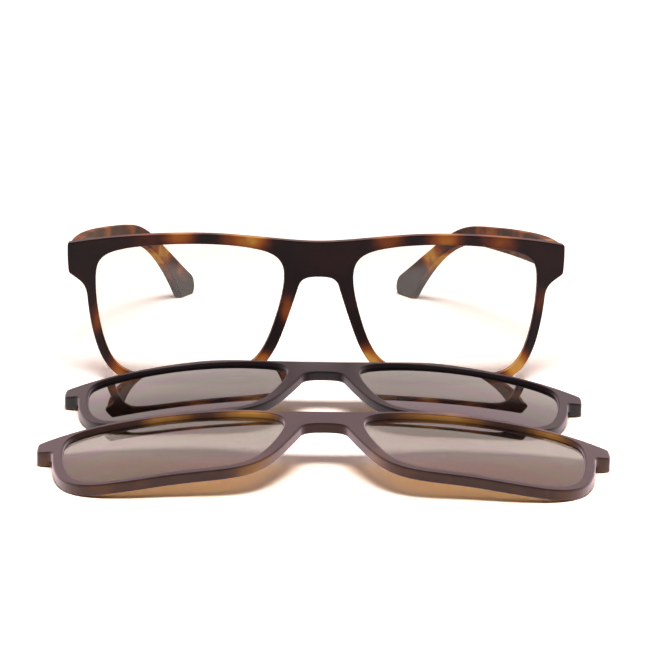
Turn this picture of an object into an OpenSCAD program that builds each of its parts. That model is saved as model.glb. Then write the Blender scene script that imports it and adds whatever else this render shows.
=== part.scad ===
// Magnetic clip-on eyeglasses: an optical frame with open temples, and two sun clips that
// lie face up on the table in front of it. Millimetres. X runs across the face with the
// wearer's left at +X, Y runs back along the temples, and Z is up from the table.
// The origin is on the table, under the middle of the whole set.

/* [Lens openings] */
// Width of each lens opening
lens_w = 53; // [49:0.5:57]
// Height of each lens opening
lens_h = 38.3; // [34:0.5:42]
// Distance between the two openings at their nearest
bridge_w = 19.8; // [17:0.2:23]
// Radius of the lens curve
lens_r = 200; // [180:10:260]
// How deep a lens edge sits in its groove
groove_d = 0.6; // [0.4:0.1:0.8]

/* [Optical frame] */
// Width of the rim below and beside each opening
rim_w = 2.6; // [2.2:0.1:3.2]
// Height of the brow bar above each opening
brow_h = 2.5; // [2:0.1:3.4]
// Thickness of the rims, front to back
rim_t = 3.7; // [3.4:0.1:4.4]
// Radius of the wrap of the front, seen from above
wrap_r = 321; // [290:5:400]
// Height of the bridge
bridge_h = 9.9; // [8:0.1:11]
// How far the top of the bridge lies below the brow line
bridge_dip = 1.9; // [1:0.1:3]
// How far the end pieces reach past the openings
end_w = 7.7; // [7.4:0.1:9]
// Height of the end pieces at their outer edge
end_h = 8.2; // [7.8:0.1:9]
// How far the end pieces' top corners lie below the brow line
end_drop = 3.9; // [3:0.1:5]
// Depth of the end pieces, from the front's middle to their back faces
end_depth = 12; // [12:0.1:13]
// Thickness of the demonstration lenses
demo_t = 1.5; // [1.2:0.1:1.7]

/* [Temples] */
// Distance from the end piece to the tip, along Y
temple_reach = 139.8; // [130:1:146]
// Distance between the temples' middle lines at the tips
tip_gap = 73; // [66:1:90]
// Thickness of a temple at its hinge
temple_t = 3.6; // [3.3:0.1:4]
// Thickness of a temple at its tip
tip_t = 2.6; // [2.2:0.1:3.2]
// Height of a temple where it starts to bend down
temple_h = 6.2; // [5.4:0.1:7]
// How far a temple drops from its hinge to the bend
temple_slope = 7; // [6:0.1:8]
// Length of the flat foot under each tip
foot_l = 8; // [6:0.5:10]

/* [Hinges] */
// Diameter of the hinge knuckles
knuckle_d = 2.6; // [2.4:0.1:2.8]
// Height of the stack of five knuckles
stack_h = 5; // [4.4:0.1:5]
// Diameter of the hinge screw
screw_d = 1.2; // [1:0.1:1.3]
// Diameter of the screw's head
head_d = 2; // [1.8:0.1:2.2]
// Thickness of the hinge leaves
leaf_t = 1; // [0.8:0.1:1.1]
// Length of the leaf on a temple
leaf_l = 8; // [6:0.5:10]
// Length of the leaf on an end piece
short_leaf_l = 4; // [3:0.1:4.2]

/* [Sun clips] */
// Thickness of the clip rims, front to back
clip_t = 2.6; // [2.4:0.1:3]
// Thickness of the lugs at the clip's ends
lug_t = 3.6; // [3:0.1:4]
// Height of a lug at its outer edge
lug_h = 5.7; // [5.2:0.1:6.4]
// How far a lug's top corner lies below the end piece's
lug_drop = 5; // [4:0.1:6]
// How far a lug's outer edge lies inside the end piece's
lug_inset = 0.7; // [0.5:0.1:1.4]
// Height of the clip's bridge
clip_bridge_h = 8.5; // [7:0.1:9.4]
// How far the top of the clip's bridge lies below the brow line
clip_bridge_dip = 4.3; // [3:0.1:5]
// Thickness of the polarised clip lenses
sun_t = 0.8; // [0.7:0.1:0.9]

/* [Magnets] */
// Diameter of the magnets
magnet_d = 2; // [1.6:0.1:2]
// Length of the magnets in the end pieces
end_magnet_l = 3; // [2.4:0.1:3.2]
// Length of the magnets in the clip lugs
lug_magnet_l = 1.5; // [1.2:0.1:2]

/* [On the table] */
// Distance from the front's middle back to the middle of the whole set
set_back = 13.3; // [10:0.1:20]
// Distance of the front's middle to the wearer's left of the set's middle
set_side = 1.2; // [0:0.1:4]
// Distance from the optical frame's front to the black clip's lower rim
black_y = 63.5; // [60:0.5:70]
// Distance from the optical frame's front to the tortoise clip's lower rim
tortoise_y = 123; // [116:0.5:130]
// Sideways place of the black clip, against the optical frame
black_x = -2.1; // [-6:0.1:2]
// Sideways place of the tortoise clip, against the optical frame
tortoise_x = -4.7; // [-6:0.1:2]
// Turn of the black clip on the table
black_turn = -3.5; // [-6:0.1:2]
// Turn of the tortoise clip on the table
tortoise_turn = -2.7; // [-6:0.1:2]

/* [Hidden] */
$fn = 96;

// Clearances: between pieces of one body, between moving pieces, and round the screw
fit = 0.05;
gap = 0.15;
run = 0.05;

// Curve steps of each span of an outline
steps = 8;

// The opening's shape, as B-spline control points in hundredths of its width and height
lens_form = [[52, 28], [46, 45], [-3, 51], [-37, 48], [-54, 38],
    [-46, -8], [-35, -45], [-8, -44], [34, -55], [47, -28]];

// Depth of the flat that is cut under each rim
foot_trim = 0.08;

// Places that follow from the sizes above
lens_x = (bridge_w + lens_w) / 2;
lens_z = rim_w - foot_trim - min([for (p = spline(lens_form)) p[1]]) * lens_h / 100;
top_z = rim_w + lens_h + brow_h;
end_x = lens_x + lens_w / 2 + end_w;
end_top = top_z - end_drop;
end_low = end_top - end_h;
block_x = end_x - end_w - 0.1;
lug_top = end_top - lug_drop;
lug_low = lug_top - lug_h;
slab = 80;

// Hinge axis: behind the end piece, with the temple's leaf let in flush with its inner face
inner_x = end_x - 0.4 - temple_t;
hinge_x = inner_x + leaf_t - knuckle_d / 2 - 0.1;
hinge_y = end_depth + knuckle_d / 2 + fit;
stack_z = end_top - 1.2 - stack_h;
knuckle_gap = gap / 2;
knuckle_h = (stack_h - 4 * knuckle_gap) / 5;

// Magnet places, the same in a clip's lug and in the end piece behind it
magnet_x = end_x - lug_inset - magnet_d / 2 - 1;
magnet_z = lug_top - lug_h / 2 + 0.3;

// Lens depths below the front face, at the middle of the opening
demo_depth = 0.7;
sun_depth = 0.3;

function bezier(a, b, c, d) = [for (i = [0 : steps - 1]) let (t = i / steps, s = 1 - t)
    s * s * s * a + 3 * s * s * t * b + 3 * s * t * t * c + t * t * t * d];

function spline(p) = let (n = len(p)) [for (i = [0 : n - 1], k = [0 : steps - 1])
    let (t = k / steps, s = 1 - t)
    (s * s * s * p[i] + (3 * t * t * t - 6 * t * t + 4) * p[(i + 1) % n]
        + (3 * s * s * s - 6 * s * s + 4) * p[(i + 2) % n] + t * t * t * p[(i + 3) % n]) / 6];

// Moves each point of a closed outline outwards
function grow(p, w) = let (n = len(p)) [for (i = [0 : n - 1])
    let (d = p[(i + 1) % n] - p[(i + n - 1) % n]) p[i] + w * [d[1], -d[0]] / norm(d)];

function flip(p) = [for (i = [len(p) - 1 : -1 : 0]) [-p[i][0], p[i][1]]];

opening = spline([for (c = lens_form) [lens_x + c[0] * lens_w / 100, lens_z + c[1] * lens_h / 100]]);

// The rim's outer line, wider towards the nose, from under the bridge round to the end piece
rim_line = let (n = len(opening)) [for (i = [0 : n - 1])
    let (d = opening[(i + 1) % n] - opening[(i + n - 1) % n], p = opening[i],
        nasal = max(0, min(1, (lens_x - p[0]) / (lens_w / 2))),
        w = rim_w + nasal * (0.25 + 1.1 * p[1] / top_z))
    p + w * [d[1], -d[0]] / norm(d)];
lower_rim = [for (i = [0 : len(rim_line) - 1])
    if (i > 4.4 * steps && i < 8.7 * steps) [rim_line[i][0], max(0, rim_line[i][1])]];

// One half of a front's outer line, from the bridge's underside round to its top. The last
// three values say how long the line stays level at the end, at the brow and at the bridge.
function half_front(bridge_low, bridge_top, x_end, z_low, z_top, end_run, brow_run, bridge_run) =
    let (a = lower_rim[0], b = lower_rim[len(lower_rim) - 1],
        da = a - lower_rim[1], db = b - lower_rim[len(lower_rim) - 2],
        peak = [lens_x - 4, top_z])
    concat(
        bezier([0, bridge_low], [3.2, bridge_low], [4.9, bridge_low - 0.4], [5.7, bridge_low - 2.7]),
        bezier([5.7, bridge_low - 2.7], [6.4, bridge_low - 4.9], a + 4 * da / norm(da), a),
        lower_rim,
        bezier(b, b + 4.4 * db / norm(db), [x_end - 3.2, z_low - 2.2], [x_end - 0.5, z_low]),
        bezier([x_end - 0.5, z_low], [x_end, z_low + 0.3], [x_end, z_top - 0.6], [x_end - 0.6, z_top]),
        bezier([x_end - 0.6, z_top], [x_end - end_run, z_top + 0.55 * (top_z - z_top)],
            [peak[0] + 14, top_z], peak),
        bezier(peak, [peak[0] - brow_run, top_z], [bridge_run, bridge_top], [0, bridge_top]));

function whole(p) = concat(p, flip([for (i = [1 : len(p) - 1]) p[i]]));

frame_line = whole(half_front(top_z - bridge_dip - bridge_h, top_z - bridge_dip,
    end_x, end_low, end_top, 9, 12, 9));
clip_line = whole(half_front(top_z - clip_bridge_dip - clip_bridge_h, top_z - clip_bridge_dip,
    end_x - lug_inset, lug_low, lug_top, 7, 8, 16));

// A closed outline, seen from the front, as a slab along Y
module slab_of(p) translate([0, slab / 2, 0]) rotate([90, 0, 0]) linear_extrude(slab) polygon(p);

// The space inside a wrap of one radius, whose face touches the plane y = 0
module wrap(r, depth) translate([0, r, -1])
    cylinder(h = top_z + 2, r = r - depth, $fn = 360);

// Moves a piece to the middle of an opening, square to the wrap
module at_lens(side, depth) translate([0, wrap_r, 0]) rotate([0, 0, side * asin(lens_x / wrap_r)])
    translate([0, depth - wrap_r, lens_z]) children();

// The curved shell that a lens is cut from
module lens_shell(side, depth, t, play) at_lens(side, depth - play) difference() {
    translate([0, lens_r, 0]) sphere(r = lens_r, $fn = 240);
    translate([0, lens_r, 0]) sphere(r = lens_r - t - 2 * play, $fn = 240);
}

function sided(p, side) = side > 0 ? p : flip(p);

// A lens, or with some play the groove that holds it
module lens_solid(side, depth, t, play = 0) intersection() {
    slab_of(sided(grow(opening, groove_d - fit + play), side));
    lens_shell(side, depth, t, play);
    translate([side * lens_x, 0, lens_z]) cube([lens_w + 8, 60, lens_h + 8], center = true);
}

// The zone of the two end pieces, above a height and in front of the temples
module ends(z) for (side = [-1, 1])
    translate([side > 0 ? block_x : -block_x - slab, end_depth - slab, z]) cube(slab);

// A front or clip: a wrapped slab with two openings and their lens grooves. Its child is the
// zone in which the slab may be thicker.
module front_solid(line, t, depth, lens_t) difference() {
    intersection() {
        slab_of(line);
        difference() {
            wrap(wrap_r, 0);
            difference() {
                wrap(wrap_r, t);
                children();
            }
        }
    }
    for (side = [-1, 1]) {
        slab_of(sided(opening, side));
        lens_solid(side, depth, lens_t, fit);
    }
}

// The depth of a surface t behind the wrap's face, at a distance from the middle
function wrap_y(x, t) = wrap_r - sqrt(pow(wrap_r - t, 2) - x * x);

// The deepest place of a lug's back where its magnet is let in
lug_back = wrap_y(magnet_x - magnet_d / 2, lug_t);

// A blind round hole for a magnet, from a back face at depth y
module magnet_hole(side, y, length) translate([side * magnet_x, y + 3, magnet_z])
    rotate([90, 0, 0]) cylinder(h = length + 3, d = magnet_d + 2 * fit);

module magnet(side, y, length) color([0.7, 0.7, 0.72]) translate([side * magnet_x, y, magnet_z])
    rotate([90, 0, 0]) cylinder(h = length, d = magnet_d);

module mirrored(side) if (side > 0) children(); else mirror([1, 0, 0]) children();

// The leaf on an end piece, or with some play the seat it is let into
module short_leaf(play = 0, proud = 0) translate([hinge_x + 0.9 - short_leaf_l - play,
    end_depth - leaf_t - play, stack_z - play])
    cube([short_leaf_l + 2 * play, leaf_t + play + proud, stack_h + 2 * play]);

module frame_front() color([0.20, 0.11, 0.09]) difference() {
    front_solid(frame_line, rim_t, demo_depth, demo_t) ends(end_low - 1.2);
    for (side = [-1, 1]) {
        mirrored(side) short_leaf(fit, 1);
        magnet_hole(side, end_depth, end_magnet_l);
    }
}

module demo_lens(side) color([0.90, 0.93, 0.94, 0.25]) lens_solid(side, demo_depth, demo_t);

// The height of the underside of knuckle i, counted from below
function knuckle_z(i) = stack_z + i * (knuckle_h + knuckle_gap);

module hinge_bore(d) translate([hinge_x, hinge_y, stack_z - 1]) cylinder(h = stack_h + 2, d = d);

module front_hinge_leaf(side) color([0.75, 0.72, 0.66]) mirrored(side) difference() {
    union() {
        short_leaf();
        for (i = [0 : 2 : 4]) translate([hinge_x, hinge_y, knuckle_z(i)]) {
            cylinder(h = knuckle_h, d = knuckle_d);
            translate([-0.9, end_depth - leaf_t / 2 - hinge_y, 0])
                cube([1.8, hinge_y - end_depth + leaf_t / 2, knuckle_h]);
        }
    }
    hinge_bore(screw_d + 0.02);
}

// The leaf on a temple starts just behind the knuckles
long_leaf_y = hinge_y + knuckle_d / 2 + gap;

module temple_hinge_leaf(side) color([0.75, 0.72, 0.66]) mirrored(side) difference() {
    union() {
        translate([inner_x, long_leaf_y, stack_z]) cube([leaf_t, leaf_l, stack_h]);
        for (i = [1 : 2 : 3]) translate([0, 0, knuckle_z(i)]) {
            translate([hinge_x, hinge_y, 0]) cylinder(h = knuckle_h, d = knuckle_d);
            translate([inner_x, hinge_y, 0]) cube([leaf_t - 0.1, long_leaf_y - hinge_y + 0.5, knuckle_h]);
        }
    }
    hinge_bore(screw_d + 2 * run);
}

module hinge_screw(side) color([0.6, 0.6, 0.6])
    translate([side * hinge_x, hinge_y, stack_z]) difference() {
        union() {
            cylinder(h = stack_h, d = screw_d);
            translate([0, 0, stack_h]) cylinder(h = 0.5, d = head_d);
        }
        translate([-head_d, -0.15, stack_h + 0.25]) cube([2 * head_d, 0.3, 1]);
    }

// A temple's middle line and thickness, seen from above
butt_y = end_depth + gap;
tip_y = butt_y + temple_reach;
temple_mid = concat(bezier([end_x - 0.4 - temple_t / 2, butt_y], [end_x - 2.6, butt_y + 0.31 * temple_reach],
    [end_x - 12.6, butt_y + 0.66 * temple_reach], [tip_gap / 2, tip_y]), [[tip_gap / 2, tip_y]]);
function temple_side(sign) = let (p = temple_mid, n = len(p)) [for (i = [0 : n - 1])
    let (d = p[min(i + 1, n - 1)] - p[max(i - 1, 0)], w = temple_t + (tip_t - temple_t) * i / (n - 1))
    p[i] + sign * w / 2 * (i == 0 ? [1, 0] : [d[1], -d[0]] / norm(d))];
temple_plan = concat(temple_side(1), [for (i = [len(temple_mid) - 1 : -1 : 0]) temple_side(-1)[i]]);

// A temple's outline, seen from the side as Y and Z
bend_y = butt_y + 0.57 * temple_reach;
bend_z = end_top + 0.3 - temple_slope;
temple_outline = concat(
    bezier([butt_y, end_top + 0.4], [butt_y + 24, end_top - 0.2], [bend_y - 22, bend_z + 2.6], [bend_y, bend_z]),
    bezier([bend_y, bend_z], [bend_y + 20, bend_z - 2.3], [tip_y - 30, 0.54 * bend_z + 6], [tip_y - 3, 7.2]),
    bezier([tip_y - 3, 7.2], [tip_y - 0.4, 5.6], [tip_y + 0.5, 1.2], [tip_y - 2, 0]),
    [[tip_y - 2, 0], [tip_y - 2 - foot_l, 0]],
    bezier([tip_y - 3 - foot_l, 0.7], [tip_y - 28, 0.54 * (bend_z - temple_h) + 6.6],
        [bend_y + 16, bend_z - temple_h - 0.5], [bend_y - 4, bend_z - temple_h + 0.2]),
    bezier([bend_y - 4, bend_z - temple_h + 0.2], [bend_y - 26, bend_z - temple_h + 1.4],
        [butt_y + 28, end_low - 1.6], [butt_y, end_low]),
    [[butt_y, end_low]]);

module temple(side) color([0.36, 0.20, 0.10]) mirrored(side) difference() {
    intersection() {
        translate([0, 0, -1]) linear_extrude(top_z + 4) polygon(temple_plan);
        rotate([90, 0, 90]) linear_extrude(end_x + 5) polygon(temple_outline);
    }
    // The seat of the leaf, open to the inner face
    translate([inner_x - 2, long_leaf_y - fit, stack_z - fit])
        cube([leaf_t + 2 + fit, leaf_l + 2 * fit, stack_h + 2 * fit]);
    // Room for the knuckles and the screw's head
    translate([inner_x - 2, butt_y - 1, stack_z - 0.2])
        cube([leaf_t + 2 + gap, long_leaf_y - butt_y + 1, stack_h + 0.9]);
}

module clip_frame(tone) color(tone) difference() {
    front_solid(clip_line, clip_t, sun_depth, sun_t) difference() {
        ends(lug_low - 1.2);
        wrap(wrap_r, lug_t);
    }
    for (side = [-1, 1]) magnet_hole(side, lug_back, lug_magnet_l);
}

module clip_lens(side, tone) color(tone) lens_solid(side, sun_depth, sun_t);

// The tilt and height of a clip that lies on its lower rims and the corners of its lugs
function is_lug(p) = p[0] > block_x && p[1] > lug_low - 1.2;
function back_y(p) = wrap_y(p[0], is_lug(p) ? lug_t : clip_t);
function low(p, tilt) = back_y(p) * cos(tilt) - p[1] * sin(tilt);
lugs = [for (p = clip_line) if (is_lug(p)) p];
lug_foot = [for (p = lugs) if (low(p, 7.4) == max([for (q = lugs) low(q, 7.4)])) p][0];
clip_tilt = min([for (p = clip_line) if (p[0] > 0 && p[1] < lug_low - 5)
    atan((back_y(lug_foot) - back_y(p)) / (lug_foot[1] - p[1]))]);
rest_z = max([for (p = clip_line) low(p, clip_tilt)]);

module lying(x, y, turn) translate([x, -y, rest_z]) rotate([0, 0, turn])
    rotate([clip_tilt - 90, 0, 0]) children();

// Shifts the set so that the origin is under its middle
module set() translate([set_side, -set_back, 0]) children();

module black_clip() set() lying(black_x, black_y, black_turn) children();

module tortoise_clip() set() lying(tortoise_x, tortoise_y, tortoise_turn) children();

set() frame_front();
set() demo_lens(1);  // demo_lens_left
set() demo_lens(-1);  // demo_lens_right
set() front_hinge_leaf(1);  // front_hinge_leaf_left
set() front_hinge_leaf(-1);  // front_hinge_leaf_right
set() temple_hinge_leaf(1);  // temple_hinge_leaf_left
set() temple_hinge_leaf(-1);  // temple_hinge_leaf_right
set() hinge_screw(1);  // hinge_screw_left
set() hinge_screw(-1);  // hinge_screw_right
set() temple(1);  // temple_left
set() temple(-1);  // temple_right
set() magnet(1, end_depth, end_magnet_l);  // frame_magnet_left
set() magnet(-1, end_depth, end_magnet_l);  // frame_magnet_right
black_clip() clip_frame([0.13, 0.12, 0.12]);  // black_clip_frame
black_clip() clip_lens(1, [0.35, 0.34, 0.35, 0.8]);  // black_clip_lens_left
black_clip() clip_lens(-1, [0.35, 0.34, 0.35, 0.8]);  // black_clip_lens_right
black_clip() magnet(1, lug_back, lug_magnet_l);  // black_clip_magnet_left
black_clip() magnet(-1, lug_back, lug_magnet_l);  // black_clip_magnet_right
tortoise_clip() clip_frame([0.42, 0.24, 0.12]);  // tortoise_clip_frame
tortoise_clip() clip_lens(1, [0.4, 0.33, 0.28, 0.8]);  // tortoise_clip_lens_left
tortoise_clip() clip_lens(-1, [0.4, 0.33, 0.28, 0.8]);  // tortoise_clip_lens_right
tortoise_clip() magnet(1, lug_back, lug_magnet_l);  // tortoise_clip_magnet_left
tortoise_clip() magnet(-1, lug_back, lug_magnet_l);  // tortoise_clip_magnet_right
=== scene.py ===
"""Dresses a pair of magnetic clip-on eyeglasses: a tortoise frame with folding temples, and a
black and a tortoise sun clip that lie face up in front of it.

Sizes are in millimetres, in the spectacles' own axes: X to the wearer's left, Y back along the
temples, Z up, with the origin under the middle of the front. A piece becomes metres, in the
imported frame's axes, when it is published.
"""

import logging
import math
from collections.abc import Callable, Iterable
from dataclasses import dataclass
from enum import Enum

import bmesh
import bpy
import numpy as np
from mathutils import Matrix, Vector
from mathutils.geometry import interpolate_bezier


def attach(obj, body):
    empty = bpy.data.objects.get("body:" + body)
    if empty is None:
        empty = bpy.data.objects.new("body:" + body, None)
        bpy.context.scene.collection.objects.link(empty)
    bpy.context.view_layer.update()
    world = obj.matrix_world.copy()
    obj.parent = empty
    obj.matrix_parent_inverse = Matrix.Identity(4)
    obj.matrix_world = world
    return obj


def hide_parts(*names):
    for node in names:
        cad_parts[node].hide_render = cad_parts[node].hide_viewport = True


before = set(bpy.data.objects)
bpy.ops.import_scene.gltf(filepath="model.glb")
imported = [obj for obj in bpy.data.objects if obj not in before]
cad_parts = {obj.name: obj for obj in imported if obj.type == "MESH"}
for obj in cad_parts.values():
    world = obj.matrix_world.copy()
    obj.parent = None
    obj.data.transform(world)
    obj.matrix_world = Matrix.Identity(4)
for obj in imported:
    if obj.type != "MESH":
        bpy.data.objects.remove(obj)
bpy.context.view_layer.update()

Pair = tuple[float, float]
Triple = tuple[float, float, float]
Colour = tuple[float, float, float, float]
Mesh = bmesh.types.BMesh
Tree = bpy.types.NodeTree
Socket = bpy.types.NodeSocket

MM = 0.001
PERCENT = 100
LEFT_WAY = Vector((1.0, 0.0, 0.0))
FRONT_WAY = Vector((0.0, -1.0, 0.0))
BACK_WAY = Vector((0.0, 1.0, 0.0))
UP_WAY = Vector((0.0, 0.0, 1.0))
# An edge that turns by more than this is rounded, and what is left of it is shaded as an edge
SHARP_TURN = math.radians(42)
# Faces that turn by less than this lie in one plane
FLAT_TURN = math.radians(0.1)
# A point this near to a cut lies on it
ON_CUT = 0.004
# How far a cutting shape runs out of the face that it opens
RUN_OUT = 1.0
ROUND_FACETS = 4
PEG_FACETS = 40
# The numbers of a colour mix's inputs and of its result, whose names stand for other kinds too
MIX_SHARE, MIX_FIRST, MIX_SECOND, MIX_RESULT = 0, 6, 7, 2
NOISE_MIDDLE = (0.5, 0.5, 0.5)
# The sRGB curve's knee, the slope below it, and the lift and power above it
SRGB_CURVE = (0.04045, 12.92, 0.055, 2.4)
BYTE_TOP = 255
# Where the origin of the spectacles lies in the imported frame
SPECTACLES_PLACE = (1.2, -13.3, 0.0)
log = logging.getLogger("eyeglasses")


class Side(Enum):
    """The wearer's side that a piece is on, as its sign along X."""

    LEFT = 1
    RIGHT = -1

    @property
    def word(self) -> str:
        """The side as it stands in the names of nodes and pieces."""
        return self.name.lower()


class Slot(Enum):
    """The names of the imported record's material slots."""

    TORTOISE = "tortoise_acetate"
    BLACK = "black_acetate"
    BROWN = "brown_acetate"
    CLEAR = "clear_lens"
    SUN = "sun_lens"


def linear(hex_colour: str) -> Colour:
    """The linear colour that a shader reads.

    Args:
        hex_colour: An sRGB colour, as six hex digits after a hash sign.

    Returns:
        Its red, green, blue and alpha.
    """
    knee, slope, lift, power = SRGB_CURVE
    channels = (int(hex_colour[i:i + 2], 16) / BYTE_TOP for i in (1, 3, 5))
    return (*(c / slope if c <= knee else ((c + lift) / (1 + lift)) ** power for c in channels), 1.0)


def per_mm(size: float) -> float:
    """The scale of a texture in metres whose features are this many millimetres across."""
    return 1 / (size * MM)


def add(
    tree: Tree, kind: str, inputs: dict[str | int, object] | None = None, **choices: object
) -> bpy.types.Node:
    """Adds a shader node with its settings and links.

    Args:
        tree: The node tree that the node goes into.
        kind: The node's type, less the words that all shader nodes' types start with.
        inputs: What its inputs take, by name or number: a value, or the socket that feeds it.
        choices: The node's own properties, such as its operation.

    Returns:
        The new node.
    """
    node = tree.nodes.new(f"ShaderNode{kind}")
    for name, choice in choices.items():
        setattr(node, name, choice)
    for key, given in (inputs or {}).items():
        if isinstance(given, Socket):
            tree.links.new(given, node.inputs[key])
        else:
            node.inputs[key].default_value = given
    return node


def ranged(
    tree: Tree, value: Socket, source: Pair, target: Pair = (0.0, 1.0), curve_kind: str = "SMOOTHSTEP"
) -> Socket:
    """A value mapped from its source range to the target range, and held there."""
    ends = dict(zip(("From Min", "From Max", "To Min", "To Max"), (*source, *target)))
    return add(tree, "MapRange", {"Value": value, **ends}, interpolation_type=curve_kind).outputs[0]


def mixed(tree: Tree, share: Socket, first: Colour | Socket, second: Colour | Socket) -> Socket:
    """The first colour with a share of the second one mixed into it, from 0 to 1."""
    inputs = {MIX_SHARE: share, MIX_FIRST: first, MIX_SECOND: second}
    return add(tree, "Mix", inputs, data_type="RGBA").outputs[MIX_RESULT]


def worked(
    tree: Tree, kind: str, operation: str, *values: object, output: int | str = 0, **choices: object
) -> Socket:
    """What a Math or a VectorMath node makes of its values, which are numbers or sockets."""
    return add(tree, kind, dict(enumerate(values)), operation=operation, **choices).outputs[output]


def noise(tree: Tree, place: Socket, size: float, detail: float) -> bpy.types.bpy_prop_collection:
    """The outputs of a noise whose features are this many millimetres across."""
    return add(tree, "TexNoise", {"Vector": place, "Scale": per_mm(size), "Detail": detail}).outputs


def set_all(surface: bpy.types.Node, settings: dict[str, object]) -> None:
    """Sets a shader's own sockets, each by its name."""
    for name, setting in settings.items():
        surface.inputs[name].default_value = setting


@dataclass(frozen=True)
class Finish:
    """A surface finish, which becomes one material the first time that a piece takes it."""

    name: str

    def material(self) -> bpy.types.Material:
        """Looks up the finish's material, and makes it where there is none yet.

        Returns:
            The material.
        """
        found = bpy.data.materials.get(self.name)
        if found:
            return found
        material = bpy.data.materials.new(self.name)
        material.use_nodes = True
        self.shade(material.node_tree, material.node_tree.nodes["Principled BSDF"])
        return material

    def shade(self, tree: Tree, surface: bpy.types.Node) -> None:
        """Sets the material's surface shader, and adds the nodes that feed it to its tree."""
        raise NotImplementedError


@dataclass(frozen=True)
class Cloud:
    """A lighter or darker cloud in a tortoise sheet.

    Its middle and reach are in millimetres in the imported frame's axes, and its tone is added to
    the pattern's lightness, which runs from 0 for black-brown to 1 for honey.
    """

    middle: Triple
    reach: Triple
    tone: float


@dataclass(frozen=True)
class TumbledAcetate(Finish):
    """Cellulose acetate cut from sheet and tumbled matt: an even satin with a faint fine grain."""

    roughness: float = 0.42
    ior: float = 1.48
    gloss: float = 0.5
    haze: float = 0.0
    haze_colour: str = "#ffe0ea"
    haze_roughness: float = 0.4
    grain: float = 0.5
    grain_detail: float = 2.0
    grain_depth: float = 0.02
    grain_strength: float = 0.35

    def satin(self, tree: Tree, surface: bpy.types.Node) -> None:
        """Gives the surface the matt sheen of tumbled acetate.

        Args:
            tree: The material's node tree.
            surface: Its Principled shader.
        """
        # Tumbling leaves a fine nap, which pales the faces that are seen at a low angle
        set_all(surface, {
            "Roughness": self.roughness, "IOR": self.ior, "Specular IOR Level": self.gloss,
            "Sheen Weight": self.haze, "Sheen Roughness": self.haze_roughness,
            "Sheen Tint": linear(self.haze_colour),
        })
        place = add(tree, "TexCoord").outputs["Object"]
        # The grain of the tumbling is about 0.05 mm, and is drawn ten times coarser to show
        grain = noise(tree, place, self.grain, self.grain_detail)[0]
        depth = {"Strength": self.grain_strength, "Distance": self.grain_depth * MM}
        bump = add(tree, "Bump", {**depth, "Height": grain})
        tree.links.new(bump.outputs[0], surface.inputs["Normal"])


@dataclass(frozen=True)
class DyedAcetate(TumbledAcetate):
    """Acetate dyed one colour through, which looks soft and even under its sheen."""

    colour: str = "#1b1616"

    def shade(self, tree: Tree, surface: bpy.types.Node) -> None:
        """Sets the dye's colour and the satin."""
        set_all(surface, {"Base Color": linear(self.colour)})
        self.satin(tree, surface)


@dataclass(frozen=True)
class TortoiseAcetate(TumbledAcetate):
    """Block-laminated acetate: honey clouds that melt through red-brown into black-brown.

    The clouds come from the sheet and run through its thickness, so the same cloud shows on a
    rim's face, its edge and its inner wall. The walls are painted lighter by the painted edge
    light, which stands in for the light that runs through the sheet and leaves it there.
    """

    clouds: tuple[Cloud, ...] = ()
    cloud_fade: Pair = (0.1, 1.1)
    tones: tuple[tuple[float, str], ...] = (
        (0.0, "#1a1113"), (0.28, "#2a1717"), (0.5, "#542818"), (0.7, "#83421b"), (0.85, "#a05f24"),
        (1.0, "#c28a3f"),
    )
    mottle: float = 11.0
    mottle_detail: float = 3.0
    mottle_band: Pair = (0.4, 0.7)
    mottle_tone: float = 0.2
    base_tone: float = 0.1
    wander: float = 9.0
    wander_detail: float = 2.0
    wander_reach: float = 2.2
    face: Triple = (0.0, -1.0, 0.0)
    painted_edge_band: Pair = (0.25, 0.85)
    painted_edge_light: float = 0.0

    def shade(self, tree: Tree, surface: bpy.types.Node) -> None:
        """Mixes the sheet's clouds and sets the satin.

        Args:
            tree: The material's node tree.
            surface: Its Principled shader.
        """
        place = add(tree, "TexCoord").outputs["Object"]
        drift = noise(tree, place, self.wander, self.wander_detail)[1]
        swirl = worked(tree, "VectorMath", "SUBTRACT", drift, NOISE_MIDDLE)
        shift = (2 * self.wander_reach * MM,) * 3
        moved = worked(tree, "VectorMath", "MULTIPLY_ADD", swirl, shift, place)
        mottle = noise(tree, moved, self.mottle, self.mottle_detail)[0]
        lightest = self.base_tone + self.mottle_tone
        tone = ranged(tree, mottle, self.mottle_band, (self.base_tone, lightest))
        for cloud in self.clouds:
            tone = self.clouded(tree, moved, tone, cloud)
        # Painted light: faces that turn away from the face's way are painted lighter, for the light that
        # shines out through the sheet's edges
        normal = add(tree, "TexCoord").outputs["Normal"]
        facing = worked(tree, "VectorMath", "DOT_PRODUCT", normal, self.face, output="Value")
        flat = worked(tree, "Math", "ABSOLUTE", facing)
        edge = ranged(tree, flat, self.painted_edge_band, (self.painted_edge_light, 0.0))
        ramp = add(tree, "ValToRGB", {0: worked(tree, "Math", "ADD", tone, edge)})
        steps = ramp.color_ramp.elements
        made = len(steps)
        for i, (stop, colour) in enumerate(self.tones):
            step = steps[i] if i < made else steps.new(stop)
            step.position = stop
            step.color = linear(colour)
        tree.links.new(ramp.outputs[0], surface.inputs["Base Color"])
        self.satin(tree, surface)

    def clouded(self, tree: Tree, place: Socket, tone: Socket, cloud: Cloud) -> Socket:
        """Adds one cloud to the pattern's lightness.

        Args:
            tree: The material's node tree.
            place: The place in the sheet, in metres.
            tone: The lightness so far.
            cloud: The cloud to add.

        Returns:
            The lightness with the cloud in it.
        """
        shares = [per_mm(reach) for reach in cloud.reach]
        shift = [-middle / reach for middle, reach in zip(cloud.middle, cloud.reach)]
        inside = worked(tree, "VectorMath", "MULTIPLY_ADD", place, shares, shift)
        away = worked(tree, "VectorMath", "LENGTH", inside, output="Value")
        glow = ranged(tree, away, self.cloud_fade, (cloud.tone, 0.0))
        return worked(tree, "Math", "ADD", tone, glow)


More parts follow.
